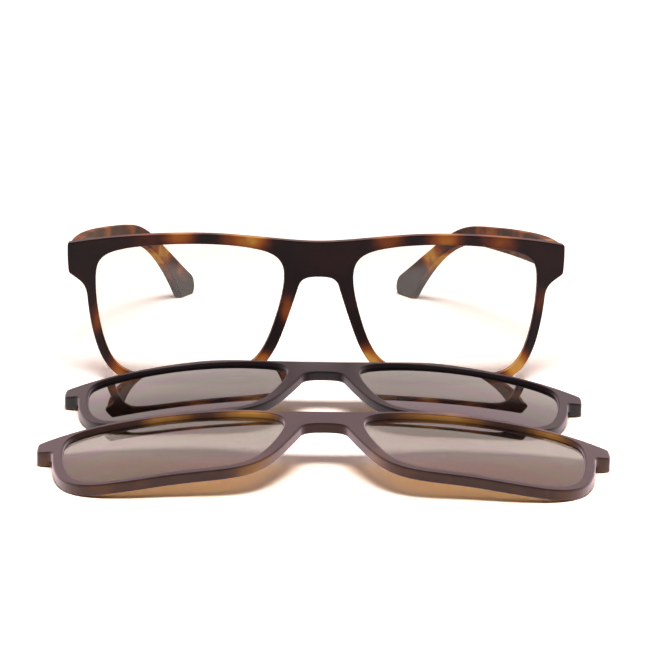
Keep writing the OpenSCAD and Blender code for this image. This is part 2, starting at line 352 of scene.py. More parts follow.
@dataclass(frozen=True)
class MouldedLens(Finish):
    """An injection-moulded lens: a clear or tinted glassy body with sharp reflections."""

    tint: str = "#ffffff"
    ior: float = 1.49
    gloss: float = 0.5
    mirror: float = 0.0
    mirror_ior: float = 1.5
    roughness: float = 0.0

    def shade(self, tree: Tree, surface: bpy.types.Node) -> None:
        """Sets the tint of the light that the lens lets through, and its mirror coat.

        Args:
            tree: The material's node tree, which is not used.
            surface: Its Principled shader.
        """
        set_all(surface, {
            "Base Color": linear(self.tint), "Transmission Weight": 1.0, "Roughness": self.roughness,
            "IOR": self.ior, "Specular IOR Level": self.gloss, "Coat Weight": self.mirror,
            "Coat IOR": self.mirror_ior, "Coat Roughness": self.roughness,
        })


@dataclass(frozen=True)
class PlatedMetal(Finish):
    """Plated metal with the soft reflections of fine tumbling or brushing."""

    colour: str = "#b9b5ae"
    roughness: float = 0.3

    def shade(self, tree: Tree, surface: bpy.types.Node) -> None:
        """Sets the plating's colour and its polish."""
        look = {"Base Color": linear(self.colour), "Metallic": 1.0, "Roughness": self.roughness}
        set_all(surface, look)


FRONT_ACETATE = TortoiseAcetate(
    "Tortoise acetate of the front",
    clouds=(
        Cloud((-48.0, -12.0, 42.0), (10.0, 30.0, 5.0), 0.2),
        Cloud((-38.0, -12.0, 42.5), (7.0, 30.0, 5.0), 0.7),
        Cloud((-20.0, -12.0, 42.0), (10.0, 30.0, 6.0), 0.7),
        Cloud((-8.0, -12.0, 22.0), (3.0, 30.0, 7.0), 0.5),
        Cloud((-14.0, -12.0, 5.0), (6.5, 30.0, 7.5), 0.75),
        Cloud((-61.5, -12.0, 19.5), (2.6, 30.0, 8.0), 0.5),
        Cloud((-55.5, -12.0, 3.5), (5.0, 30.0, 6.0), 0.6),
        Cloud((20.5, -12.0, 42.0), (7.0, 30.0, 6.0), 0.55),
        Cloud((36.5, -12.0, 42.5), (7.5, 30.0, 6.0), 0.6),
        Cloud((53.0, -12.0, 41.5), (8.0, 30.0, 6.0), 0.5),
        Cloud((16.0, -12.0, 6.5), (7.0, 30.0, 8.0), 0.85),
        Cloud((65.0, -12.0, 24.0), (3.0, 30.0, 6.0), 0.35),
        Cloud((59.0, -12.0, 4.5), (7.5, 30.0, 8.0), 1.0),
    ),
    mottle_tone=0.18, base_tone=0.06, gloss=0.25, painted_edge_light=0.24,
)
TEMPLE_ACETATE = TortoiseAcetate(
    "Tortoise acetate of the temples",
    clouds=(
        Cloud((0.0, 150.0, -4.0), (200.0, 60.0, 16.0), -0.7),
        Cloud((0.0, 112.0, 18.0), (200.0, 14.0, 7.0), 0.6),
    ),
    mottle=14.0, mottle_tone=0.5, base_tone=0.3, face=(1.0, 0.0, 0.0), painted_edge_light=0.22,
    roughness=0.55, gloss=0.08, haze=0.14, haze_colour="#ffcfa8",
)
BROWN_ACETATE = TortoiseAcetate(
    "Brown tortoise acetate of the clip",
    clouds=(
        Cloud((-19.0, -95.0, 5.0), (13.0, 8.0, 20.0), 0.62),
        Cloud((-40.0, -95.0, 5.0), (8.0, 8.0, 20.0), 0.45),
        Cloud((29.0, -95.0, 5.0), (15.0, 8.0, 20.0), 0.62),
        Cloud((54.0, -98.0, 5.0), (9.0, 8.0, 20.0), 0.45),
        Cloud((-19.0, -127.0, 5.0), (10.0, 11.0, 20.0), 0.35),
        Cloud((15.0, -124.0, 5.0), (10.0, 11.0, 20.0), 0.35),
    ),
    tones=((0.0, "#1e1416"), (0.35, "#38241f"), (0.55, "#583723"), (0.75, "#8a5c2a"), (1.0, "#c08a42")),
    mottle=12.0, face=(0.0, 0.0, 1.0), painted_edge_light=0.28, gloss=0.28, haze=1.0,
)
BLACK_ACETATE = DyedAcetate("Black acetate", colour="#1e1618", haze=0.5)
CLEAR_LENS = MouldedLens("Moulded acrylic lens, clear", tint="#fdfdfc", gloss=0.06)
GREY_SUN_LENS = MouldedLens(
    "Polarised polycarbonate, dark grey", tint="#433c39", ior=1.58, mirror=1.0, mirror_ior=1.45,
    roughness=0.02,
)
BROWN_SUN_LENS = MouldedLens(
    "Polarised polycarbonate, grey-brown", tint="#8f8a86", ior=1.58, roughness=0.02
)
HINGE_METAL = PlatedMetal("Nickel silver, tumbled", colour="#b9b3a6")
MAGNET_METAL = PlatedMetal("Nickel-plated magnet", colour="#c4c4c6", roughness=0.18)


def closed_spline(controls: list[Vector], steps: int) -> list[Vector]:
    """Runs a closed cubic B-spline past its control points.

    Args:
        controls: The control points, in order.
        steps: The number of points in each span.

    Returns:
        The curve's points.
    """
    line = []
    for i in range(len(controls)):
        a, b, c, d = (controls[(i + k) % len(controls)] for k in range(4))
        for t in (k / steps for k in range(steps)):
            s = 1 - t
            near = s**3 * a + (3 * t**3 - 6 * t**2 + 4) * b
            line.append((near + (3 * s**3 - 6 * s**2 + 4) * c + t**3 * d) / 6)
    return line


def curve(
    start: Iterable[float], start_handle: Iterable[float], end_handle: Iterable[float],
    end: Iterable[float], steps: int,
) -> list[Vector]:
    """The points of a Bezier curve in a plane, as many as its steps, without the last one."""
    corners = (Vector(place) for place in (start, start_handle, end_handle, end))
    return interpolate_bezier(*corners, steps + 1)[:-1]


def stepped(anchor: Pair, step: Pair) -> Pair:
    """A place that is one step away from an anchor."""
    return anchor[0] + step[0], anchor[1] + step[1]


def grown(line: list[Vector], width_at: Callable[[Vector], float]) -> list[Vector]:
    """Moves each point of a closed line outwards.

    Args:
        line: The points of the line, counter-clockwise.
        width_at: How far a point moves, by its place.

    Returns:
        The moved points.
    """
    moved = []
    for i, point in enumerate(line):
        along = (line[(i + 1) % len(line)] - line[i - 1]).normalized()
        moved.append(point + width_at(point) * Vector((along.y, -along.x)))
    return moved


def spaced(line: list[Vector], least: float, corner: float = math.radians(15)) -> list[Vector]:
    """A line without the points that crowd together, which a wider rounding would fold over.

    Args:
        line: The points in order.
        least: The least distance between two points.
        corner: A point where the line turns by more than this always stays.

    Returns:
        The points that stay, the first and the last with them.
    """
    turns = [(b - a).angle(c - b) for a, b, c in zip(line, line[1:], line[2:])]
    fixed = [0, *(i for i, turn in enumerate(turns, 1) if turn > corner), len(line) - 1]
    kept = []
    for i, point in enumerate(line):
        ahead = line[min(k for k in fixed if k >= i)]
        if i in fixed or (point - kept[-1]).length >= least <= (point - ahead).length:
            kept.append(point)
    return kept


def mirrored_line(line: list[Vector]) -> list[Vector]:
    """The same line on the other side of the face, still counter-clockwise."""
    return [Vector((-point.x, point.y)) for point in reversed(line)]


@dataclass(frozen=True)
class EyeShape:
    """One lens opening, seen from the front, and the rim round it.

    The form is a closed B-spline whose control points are in hundredths of the opening's width
    and height. The rim's spans say where along the form the rim's outer line starts and ends.
    """

    width: float = 53.0
    height: float = 38.3
    bridge: float = 19.8
    rim: float = 2.6
    nasal_rim: float = 0.25
    nasal_flare: float = 1.1
    rim_spans: Pair = (4.4, 8.7)
    brow: float = 2.5
    foot_trim: float = 0.08
    wrap: float = 321.0
    steps: int = 16
    form: tuple[Pair, ...] = (
        (52, 28), (46, 45), (-3, 51), (-37, 48), (-54, 38), (-46, -8), (-35, -45), (-8, -44),
        (34, -55), (47, -28),
    )

    @property
    def top(self) -> float:
        """The height of the brow line."""
        return self.rim + self.height + self.brow

    @property
    def middle(self) -> Vector:
        """The middle of the opening, placed so that the rim's foot stands on the table.

        Returns:
            Its X and Z.
        """
        unit = closed_spline([Vector(c) for c in self.form], self.steps)
        lowest = min(point.y for point in unit) / PERCENT
        height = self.rim - self.foot_trim - lowest * self.height
        return Vector(((self.bridge + self.width) / 2, height))

    def opening(self) -> list[Vector]:
        """The opening's line on the wearer's left.

        Returns:
            Its points, counter-clockwise.
        """
        size = Vector((self.width, self.height)) / PERCENT
        controls = [self.middle + Vector(c) * size for c in self.form]
        return closed_spline(controls, self.steps)

    def rim_line(self) -> list[Vector]:
        """The rim's outer line under the opening, wider towards the nose.

        Returns:
            Its points, from the bridge round to the end.
        """
        middle = self.middle

        def width(point: Vector) -> float:
            """The rim's width at a point of the opening."""
            nasal = min(max((middle.x - point.x) / (self.width / 2), 0), 1)
            return self.rim + nasal * (self.nasal_rim + self.nasal_flare * point.y / self.top)

        line = grown(self.opening(), width)
        start, end = self.rim_spans
        first, last = int(start * self.steps) + 1, math.ceil(end * self.steps)
        return [Vector((point.x, max(0.0, point.y))) for point in line[first:last]]

    def wrapped(self, x: float, depth: float) -> float:
        """How far back a point lies that is this deep below the face of the wrapped front."""
        return self.wrap - math.sqrt((self.wrap - depth) ** 2 - x * x)

    def unwrapped(self, x: float, y: float) -> float:
        """The depth below the front's face of a point that lies at y, the reverse of wrapped."""
        return self.wrap - math.sqrt((self.wrap - y) ** 2 + x * x)


@dataclass(frozen=True)
class FrontForm:
    """The outline of a front or a clip, and how its edges are rounded.

    The runs say how long the outline stays level at its end, at the brow and at the bridge, and
    the reaches how far it goes on along the rim's line. The arch's places are from the middle of
    the bridge's underside, up to the nose pad's curve. The end leans in by two steps, at its
    lower and its upper corner, and the curl is the way from its foot to the lower corner's handle.
    """

    bridge_low: float
    bridge_top: float
    x_end: float
    z_low: float
    z_top: float
    end_run: float
    brow_run: float
    bridge_run: float
    thickness: float
    rounding: float
    arch: tuple[Pair, ...] = ((0.0, 0.0), (3.2, 0.0), (4.9, -0.4), (5.7, -2.7), (6.4, -4.9))
    arch_reach: float = 4.0
    end_reach: float = 4.4
    end_curl: Pair = (-3.2, -2.2)
    end_lean: Pair = (0.4, 0.1)
    end_handle: float = 2.0
    shoulder: float = 0.55
    peak_in: float = 4.0
    peak_run: float = 14.0
    point_gap: float = 0.6

    def half(self, eye: EyeShape) -> list[Vector]:
        """The outline's left half, from under the bridge round to its top.

        Args:
            eye: The opening and rim that the outline follows.

        Returns:
            The points, counter-clockwise.
        """
        rim, n, x = eye.rim_line(), eye.steps, self.x_end
        start, *arch = (stepped((0.0, self.bridge_low), place) for place in self.arch)
        into = (rim[0] - rim[1]).normalized()
        out = (rim[-1] - rim[-2]).normalized()
        low_corner, top_corner = (x - self.end_lean[0], self.z_low), (x - self.end_lean[1], self.z_top)
        curl = stepped((x, self.z_low), self.end_curl)
        low_handle, top_handle = (x, self.z_low + self.end_handle), (x, self.z_top - self.end_handle)
        peak = Vector((eye.middle.x - self.peak_in, eye.top))
        shoulder = (x - self.end_run, self.z_top + self.shoulder * (eye.top - self.z_top))
        brow, bridge = (peak.x - self.brow_run, eye.top), (self.bridge_run, self.bridge_top)
        line = [
            *curve(start, *arch[:3], n),
            *curve(*arch[2:], rim[0] + self.arch_reach * into, rim[0], n),
            *rim[:-1],
            *curve(rim[-1], rim[-1] + self.end_reach * out, curl, low_corner, n),
            *curve(low_corner, low_handle, top_handle, top_corner, n),
            *curve(top_corner, shoulder, (peak.x + self.peak_run, eye.top), peak, n),
            *curve(peak, brow, bridge, (0, self.bridge_top), n),
        ]
        return spaced(line, self.point_gap)

    def outline(self, eye: EyeShape) -> list[Vector]:
        """The whole outline, counter-clockwise."""
        half = self.half(eye)
        return half + [Vector((0, self.bridge_top))] + mirrored_line(half[1:])


def cut(
    bm: Mesh, faces: Iterable[bmesh.types.BMFace], place: Vector, way: Vector
) -> list[bmesh.types.BMVert | bmesh.types.BMEdge]:
    """Cuts faces along a plane.

    Args:
        bm: The mesh.
        faces: The faces to cut.
        place: A point of the plane.
        way: The plane's normal.

    Returns:
        The new edges and points.
    """
    faces = list(faces)
    edges = dict.fromkeys(edge for face in faces for edge in face.edges)
    points = dict.fromkeys(point for face in faces for point in face.verts)
    geometry = [*points, *edges, *faces]
    made = bmesh.ops.bisect_plane(bm, geom=geometry, dist=ON_CUT, plane_co=place, plane_no=way)
    return made["geom_cut"]


def strips(bm: Mesh, way: Vector, pitch: float) -> None:
    """Cuts a whole mesh into strips, so that it can bend.

    Args:
        bm: The mesh.
        way: The direction across the strips.
        pitch: The width of a strip.
    """
    reach = [point.co.dot(way) for point in bm.verts]
    first, last = math.ceil(min(reach) / pitch), math.floor(max(reach) / pitch)
    for i in range(first, last + 1):
        cut(bm, bm.faces, way * i * pitch, way)


def drawn_out(bm: Mesh, faces: list[bmesh.types.BMFace]) -> list[bmesh.types.BMVert]:
    """Draws faces out of a mesh by no distance, and gives their points for the caller to move."""
    made = bmesh.ops.extrude_face_region(bm, geom=faces)["geom"]
    return [part for part in made if isinstance(part, bmesh.types.BMVert)]


def round_edges(
    bm: Mesh, radius: float, chosen: Callable[[bmesh.types.BMEdge], bool] = lambda edge: True
) -> None:
    """Rounds the outer edges where two faces meet sharply.

    Args:
        bm: The mesh, with its faces outwards.
        radius: The width of the rounding on each face.
        chosen: Says of a sharp edge whether it is rounded.
    """
    sharp = [
        edge for edge in bm.edges
        if edge.is_manifold and edge.calc_face_angle_signed() > SHARP_TURN and chosen(edge)
    ]
    bmesh.ops.bevel(
        bm, geom=sharp, offset=radius, offset_type="OFFSET", affect="EDGES", segments=ROUND_FACETS,
        profile=0.5, material=-1, clamp_overlap=False, loop_slide=True,
    )


def placed(name: str, data: bpy.types.ID) -> bpy.types.Object:
    """Puts a mesh, a camera or a lamp into the scene.

    Args:
        name: The object's name.
        data: The mesh, the camera or the lamp.

    Returns:
        The object.
    """
    thing = bpy.data.objects.new(name, data)
    bpy.context.scene.collection.objects.link(thing)
    return thing


def finished(name: str, bm: Mesh) -> bpy.types.Object:
    """Puts a mesh that is being worked on into the scene.

    Args:
        name: The object's name.
        bm: The mesh, which is freed.

    Returns:
        The object.
    """
    mesh = bpy.data.meshes.new(name)
    bm.to_mesh(mesh)
    bm.free()
    return placed(name, mesh)


def carved(bm: Mesh, cutters: Mesh) -> Mesh:
    """Cuts holes and seats into a piece.

    Args:
        bm: The piece, which is freed.
        cutters: Closed shapes, apart from each other, that are taken out of it. They are freed.

    Returns:
        The carved piece.
    """
    work, tool = finished("held", bm), finished("held", cutters)
    carve = work.modifiers.new("Seats", "BOOLEAN")
    carve.operation = "DIFFERENCE"
    carve.solver = "EXACT"
    carve.object = tool
    graph = bpy.context.evaluated_depsgraph_get()
    mesh = bpy.data.meshes.new_from_object(work.evaluated_get(graph))
    result = bmesh.new()
    result.from_mesh(mesh)
    for spent in (work.data, tool.data, mesh):
        bpy.data.meshes.remove(spent)
    return result


def block(bm: Mesh, low: Iterable[float], high: Iterable[float]) -> None:
    """Adds a box to a mesh.

    Args:
        bm: The mesh.
        low: The box's lowest corner.
        high: Its highest corner.
    """
    low, high = Vector(low), Vector(high)
    place = Matrix.Translation((low + high) / 2) @ Matrix.Diagonal((*(high - low), 1))
    bmesh.ops.create_cube(bm, size=1, matrix=place)


def peg(bm: Mesh, start: Iterable[float], length: float, diameter: float) -> None:
    """Adds a round bar to a mesh.

    Args:
        bm: The mesh.
        start: The middle of the bar's back end, from which it runs towards the front.
        length: Its length.
        diameter: Its diameter.
    """
    middle = Vector(start) + FRONT_WAY * length / 2
    place = Matrix.Translation(middle) @ Matrix.Rotation(math.pi / 2, 4, "X")
    radius = diameter / 2
    bmesh.ops.create_cone(
        bm, cap_ends=True, segments=PEG_FACETS, radius1=radius, radius2=radius, depth=length, matrix=place
    )


def publish(
    bm: Mesh, name: str, body: str, finish: Finish, place: Matrix, node: str
) -> None:
    """Turns a finished mesh into a piece of the object.

    Args:
        bm: The mesh in millimetres, which is freed.
        name: The piece's name.
        body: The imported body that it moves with.
        finish: Its finish.
        place: Where the mesh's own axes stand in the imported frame, in millimetres.
        node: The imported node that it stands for.
    """
    bmesh.ops.transform(bm, matrix=Matrix.Scale(MM, 4) @ place, verts=bm.verts)
    bmesh.ops.recalc_face_normals(bm, faces=bm.faces)
    piece = finished(name, bm)
    mesh = piece.data
    mesh.shade_smooth()
    mesh.set_sharp_from_angle(angle=SHARP_TURN)
    mesh.materials.append(finish.material())
    shading = piece.modifiers.new("Even shading", "WEIGHTED_NORMAL")
    shading.keep_sharp = True
    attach(piece, body)
    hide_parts(node)
    log.info("%s rides on %s: %d faces, %s", name, body, len(mesh.polygons), finish.name)


def plate(node: str, finish: Finish) -> None:
    """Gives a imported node, which stays as it is, a finish.

    Args:
        node: The node's name.
        finish: The finish.
    """
    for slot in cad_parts[node].material_slots:
        slot.material = finish.material()
    log.info("%s stays: %s", node, finish.name)


@dataclass
class WrappedPlate:
    """A front or a clip: a flat plate with two openings, which is rounded and then wrapped.

    Its ends are thicker than its rims, beyond a distance from the middle and above a height, and
    end_depth gives their depth there. A face whose normal looks back by more than backward is
    one of the ends' backs.
    """

    form: FrontForm
    eye: EyeShape
    end_depth: Callable[[float], float]
    end_from: float
    end_above: float
    strip: float = 3.0
    backward: float = 0.9
    one_place: float = 0.02

    def filled(self) -> Mesh:
        """The plate's face: the outline less the openings.

        Returns:
            A few flat faces.
        """
        bm = bmesh.new()
        opening = self.eye.opening()
        for line in (self.form.outline(self.eye), opening, mirrored_line(opening)):
            points = [bm.verts.new((p.x, 0, p.y)) for p in line]
            for i, point in enumerate(points):
                bm.edges.new((points[i - 1], point))
        bmesh.ops.triangle_fill(
            bm, edges=bm.edges[:], use_beauty=False, use_dissolve=False, normal=FRONT_WAY
        )
        for x in (-self.eye.middle.x, 0, self.eye.middle.x):
            for part in cut(bm, bm.faces, LEFT_WAY * x, LEFT_WAY):
                if isinstance(part, bmesh.types.BMEdge):
                    part.seam = True
        self.merge(bm)
        return bm

    def merge(self, bm: Mesh) -> None:
        """Joins the faces that lie in one plane, up to the seams."""
        bmesh.ops.dissolve_limit(
            bm, angle_limit=FLAT_TURN, use_dissolve_boundaries=False, verts=bm.verts[:],
            edges=bm.edges[:], delimit={"SEAM"},
        )

    def build(self) -> Mesh:
        """The wrapped plate.

        Returns:
            A closed mesh in millimetres.
        """
        bm = self.filled()
        bmesh.ops.translate(bm, verts=drawn_out(bm, bm.faces[:]), vec=BACK_WAY * self.form.thickness)
        bmesh.ops.recalc_face_normals(bm, faces=bm.faces)
        self.thicken_ends(bm)
        round_edges(bm, self.form.rounding)
        strips(bm, LEFT_WAY, self.strip)
        for point in bm.verts:
            point.co.y = self.eye.wrapped(point.co.x, point.co.y)
        bmesh.ops.remove_doubles(bm, verts=bm.verts, dist=self.one_place)
        return bm

    def thicken_ends(self, bm: Mesh) -> None:
        """Moves the back of the two ends to their own depth.

        Args:
            bm: The flat plate.
        """
        for x in (-self.end_from, self.end_from):
            cut(bm, bm.faces, LEFT_WAY * x, LEFT_WAY)
        outer = [face for face in bm.faces if abs(face.calc_center_median().x) > self.end_from]
        cut(bm, outer, UP_WAY * self.end_above, UP_WAY)
        backs = []
        for face in bm.faces:
            middle = face.calc_center_median()
            at_end = abs(middle.x) > self.end_from and middle.z > self.end_above
            if at_end and face.normal.y > self.backward:
                backs.append(face)
        points = drawn_out(bm, backs)
        bmesh.ops.delete(bm, geom=backs, context="FACES_ONLY")
        for point in points:
            point.co.y = self.end_depth(point.co.x)
        self.merge(bm)


@dataclass(frozen=True)
class LensBlank:
    """A lens: a shell of one spherical curve, cut to the opening and its groove.

    The depth is that of its middle below the front's face. A lens with a drop has the foremost
    point of its curve that much lower than its middle, so that it leans back at the top.
    """

    eye: EyeShape
    depth: float
    thickness: float
    drop: float = 0.0
    curve: float = 200.0
    in_groove: float = 0.55
    facet: float = 2.0

    def build(self, side: Side) -> Mesh:
        """The lens of one side.

        Args:
            side: The wearer's side.

        Returns:
            A closed mesh in millimetres.
        """
        bm = bmesh.new()
        line = grown(self.eye.opening(), lambda point: self.in_groove)
        bm.faces.new([bm.verts.new((side.value * p.x, 0, p.y)) for p in line])
        strips(bm, LEFT_WAY, self.facet)
        strips(bm, UP_WAY, self.facet)
        bmesh.ops.translate(bm, verts=drawn_out(bm, bm.faces[:]), vec=BACK_WAY * self.thickness)
        centre = self.centre(side)
        for point in bm.verts:
            radius = self.curve - point.co.y
            across = (point.co.x - centre.x) ** 2 + (point.co.z - centre.z) ** 2
            point.co.y = centre.y - math.sqrt(radius**2 - across)
        return bm

    def centre(self, side: Side) -> Vector:
        """The middle of the lens's sphere, square behind its opening on the wrap.

        Args:
            side: The wearer's side.

        Returns:
            Its place in millimetres.
        """
        middle, wrap = self.eye.middle, self.eye.wrap
        turn = side.value * math.asin(middle.x / wrap)
        reach = self.depth - wrap + self.curve
        return Vector((-reach * math.sin(turn), wrap + reach * math.cos(turn), middle.y - self.drop))


@dataclass(frozen=True)
class MagnetPlaces:
    """Where the magnets sit in the end pieces and in the lugs of a clip.

    A lug's magnet lies level with the lug's back at lug_level, a little in from its middle.
    """

    x: float = 67.9
    lug_level: float = 66.9
    z: float = 31.95
    diameter: float = 2.1
    end_length: float = 3.0
    lug_length: float = 1.5


@dataclass(frozen=True)
class HingeSeats:
    """The seats and room that the hinges need in the end pieces and temples."""

    inner_x: float = 66.6
    leaf: float = 1.0
    low: float = 33.25
    high: float = 38.35
    front_inner: float = 63.05
    front_outer: float = 67.15
    knuckles_back: float = 14.8
    leaf_back: float = 22.85
    room_outer: float = 1.15
    room_below: float = 0.15
    head_room: float = 0.85
    play: float = 0.05


@dataclass
class OpticalFront:
    """The optical frame's front with its two demonstration lenses."""

    eye: EyeShape
    place: Matrix
    magnets: MagnetPlaces = MagnetPlaces()
    seats: HingeSeats = HingeSeats()
    form: FrontForm = FrontForm(
        bridge_low=31.6, bridge_top=41.5, x_end=71.0, z_low=31.3, z_top=39.65, end_run=9, brow_run=12,
        bridge_run=9, thickness=3.7, rounding=0.4,
    )
    end_depth: float = 12.0
    end_from: float = 63.6
    end_above: float = 29.4
    lens_depth: float = 0.7
    lens_thickness: float = 1.5

    def build(self) -> None:
        """Builds the front and its lenses."""
        rims = WrappedPlate(self.form, self.eye, self.plate_depth, self.end_from, self.end_above)
        bm = carved(rims.build(), self.cutters())
        publish(bm, "tortoise_front", "front", FRONT_ACETATE, self.place, "frame_front")
        blank = LensBlank(self.eye, self.lens_depth, self.lens_thickness)
        for side in Side:
            name, node = f"clear_lens_{side.word}", f"demo_lens_{side.word}"
            publish(blank.build(side), name, "front", CLEAR_LENS, self.place, node)

    def plate_depth(self, x: float) -> float:
        """The depth that an end piece's back has on the flat plate, so that it ends up level."""
        return self.eye.unwrapped(x, self.end_depth)

    def cutters(self) -> Mesh:
        """The shapes of the hinge seats and magnet holes, open to the end pieces' backs.

        Returns:
            Closed shapes in one mesh.
        """
        bm = bmesh.new()
        seats, magnets, back = self.seats, self.magnets, self.end_depth
        for side in Side:
            inner, outer = sorted((side.value * seats.front_inner, side.value * seats.front_outer))
            low = (inner, back - seats.leaf - seats.play, seats.low)
            block(bm, low, (outer, back + RUN_OUT, seats.high))
            start = (side.value * magnets.x, back + RUN_OUT, magnets.z)
            peg(bm, start, magnets.end_length + RUN_OUT, magnets.diameter)
        return bm


@dataclass
class Temple:
    """One temple: a bar that bends in and down behind the ear, with a flat foot under its tip.

    Seen from the side, its outline runs from the butt past the bend to the tip. The steps of its
    top and its underside are the handles' way, back and up, from the butt, from the bend and
    from the sag, which stands over the tip at a share of the bend's height. Seen from above, the
    bow's handles stand in from the outer side, at a share of the reach.
    """

    side: Side
    eye: EyeShape
    place: Matrix
    seats: HingeSeats = HingeSeats()
    butt: float = 12.15
    reach: float = 139.8
    outer_x: float = 70.2
    tip_x: float = 36.5
    bow: tuple[Pair, Pair] = ((2.2, 0.31), (12.2, 0.66))
    bow_steps: int = 8
    thickness: float = 3.6
    tip_thickness: float = 2.6
    height: float = 6.2
    top: float = 39.9
    low: float = 31.3
    bend: float = 0.57
    slope: float = 7.1
    sag: float = 0.54
    butt_steps: tuple[Pair, Pair] = ((24.0, -0.6), (28.0, -1.6))
    bend_top_steps: tuple[Pair, Pair] = ((-22.0, 2.6), (20.0, -2.3))
    bend_under_steps: tuple[Pair, Pair, Pair] = ((16.0, -0.5), (-4.0, 0.2), (-26.0, 1.4))
    sag_steps: tuple[Pair, Pair] = ((-30.0, 6.0), (-28.0, 6.6))
    tip_steps: tuple[Pair, ...] = ((-3.0, 7.2), (-0.4, 5.6), (0.5, 1.2), (-2.0, 0.0))
    heel_step: Pair = (-3.0, 0.7)
    foot: float = 8.0
    rounding: float = 0.7
    square: float = 0.01
    strip: float = 3.0

    def profile(self) -> list[Vector]:
        """The temple's outline from the side, from the hinge along its top.

        Returns:
            Its points, as Y and Z.
        """
        n, tip = self.eye.steps, self.butt + self.reach
        top, low = (self.butt, self.top), (self.butt, self.low)
        bend = (self.butt + self.bend * self.reach, self.top - self.slope)
        under = (bend[0], bend[1] - self.height)
        top_out, low_in = stepped(top, self.butt_steps[0]), stepped(low, self.butt_steps[1])
        bend_in, bend_out = (stepped(bend, step) for step in self.bend_top_steps)
        under_in, under_mid, under_out = (stepped(under, step) for step in self.bend_under_steps)
        sag_top = stepped((tip, self.sag * bend[1]), self.sag_steps[0])
        sag_under = stepped((tip, self.sag * under[1]), self.sag_steps[1])
        tip_line = [stepped((tip, 0.0), step) for step in self.tip_steps]
        toe = tip_line[-1]
        heel = (tip + self.heel_step[0] - self.foot, self.heel_step[1])
        return [
            *curve(top, top_out, bend_in, bend, n),
            *curve(bend, bend_out, sag_top, tip_line[0], n),
            *curve(*tip_line, n),
            Vector(toe), Vector((toe[0] - self.foot, 0)),
            *curve(heel, sag_under, under_in, under_mid, n),
            *curve(under_mid, under_out, low_in, low, n),
            Vector(low),
        ]

    def middle_line(self) -> np.ndarray:
        """The temple's middle line seen from above.

        Returns:
            Three rows: the X and Y of its points, and the temple's thickness there.
        """
        tip = (self.tip_x, self.butt + self.reach)
        handles = ((self.outer_x - into, self.butt + share * self.reach) for into, share in self.bow)
        start = (self.outer_x - self.thickness / 2, self.butt)
        line = curve(start, *handles, tip, self.bow_steps * self.eye.steps) + [Vector(tip)]
        widths = np.linspace(self.thickness, self.tip_thickness, len(line))
        return np.array([[point.x for point in line], [point.y for point in line], widths])

    def build(self) -> None:
        """Builds the temple with its hinge seat."""
        bm = bmesh.new()
        bm.faces.new([bm.verts.new((0, p.x, p.y)) for p in self.profile()])
        bmesh.ops.translate(bm, verts=drawn_out(bm, bm.faces[:]), vec=LEFT_WAY * self.thickness)
        bmesh.ops.recalc_face_normals(bm, faces=bm.faces)
        butt = self.butt + self.square
        round_edges(bm, self.rounding, lambda edge: max(p.co.y for p in edge.verts) > butt)
        strips(bm, BACK_WAY, self.strip)
        self.lay_along(bm)
        bm = carved(carved(bm, self.knuckle_room()), self.leaf_seat())
        bmesh.ops.scale(bm, vec=(self.side.value, 1, 1), verts=bm.verts)
        node, body = f"temple_{self.side.word}", f"{self.side.word}_temple"
        publish(bm, f"tortoise_{node}", body, TEMPLE_ACETATE, self.place, node)

    def lay_along(self, bm: Mesh) -> None:
        """Moves the straight bar to its middle line, and thins it towards the tip.

        Args:
            bm: The straight bar.
        """
        xs, ys, widths = self.middle_line()
        slopes = np.gradient(xs, ys)
        for point in bm.verts:
            share = point.co.x / self.thickness - 0.5
            width = np.interp(point.co.y, ys, widths)
            lean = math.hypot(1, np.interp(point.co.y, ys, slopes))
            point.co.x = np.interp(point.co.y, ys, xs) + share * width * lean

    def knuckle_room(self) -> Mesh:
        """The shape of the room for the knuckles and the screw's head.

        Returns:
            A closed box.
        """
        bm = bmesh.new()
        seats = self.seats
        low = (seats.inner_x - 2 * RUN_OUT, self.butt - RUN_OUT, seats.low - seats.room_below)
        high = (seats.inner_x + seats.room_outer, seats.knuckles_back, seats.high + seats.head_room)
        block(bm, low, high)
        return bm

    def leaf_seat(self) -> Mesh:
        """The shape of the hinge leaf's seat in the temple's inner face.

        Returns:
            A closed box.
        """
        bm = bmesh.new()
        seats = self.seats
        low = (seats.inner_x - 2 * RUN_OUT, seats.knuckles_back - seats.play, seats.low)
        high = (seats.inner_x + seats.leaf + seats.play, seats.leaf_back, seats.high)
        block(bm, low, high)
        return bm


@dataclass
class Hinge:
    """One barrel hinge of five knuckles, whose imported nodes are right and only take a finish."""

    side: Side

    def dress(self) -> None:
        """Gives the leaves, the screw and the magnet beside them their metal."""
        for part in ("front_hinge_leaf", "temple_hinge_leaf", "hinge_screw"):
            plate(f"{part}_{self.side.word}", HINGE_METAL)
        plate(f"frame_magnet_{self.side.word}", MAGNET_METAL)


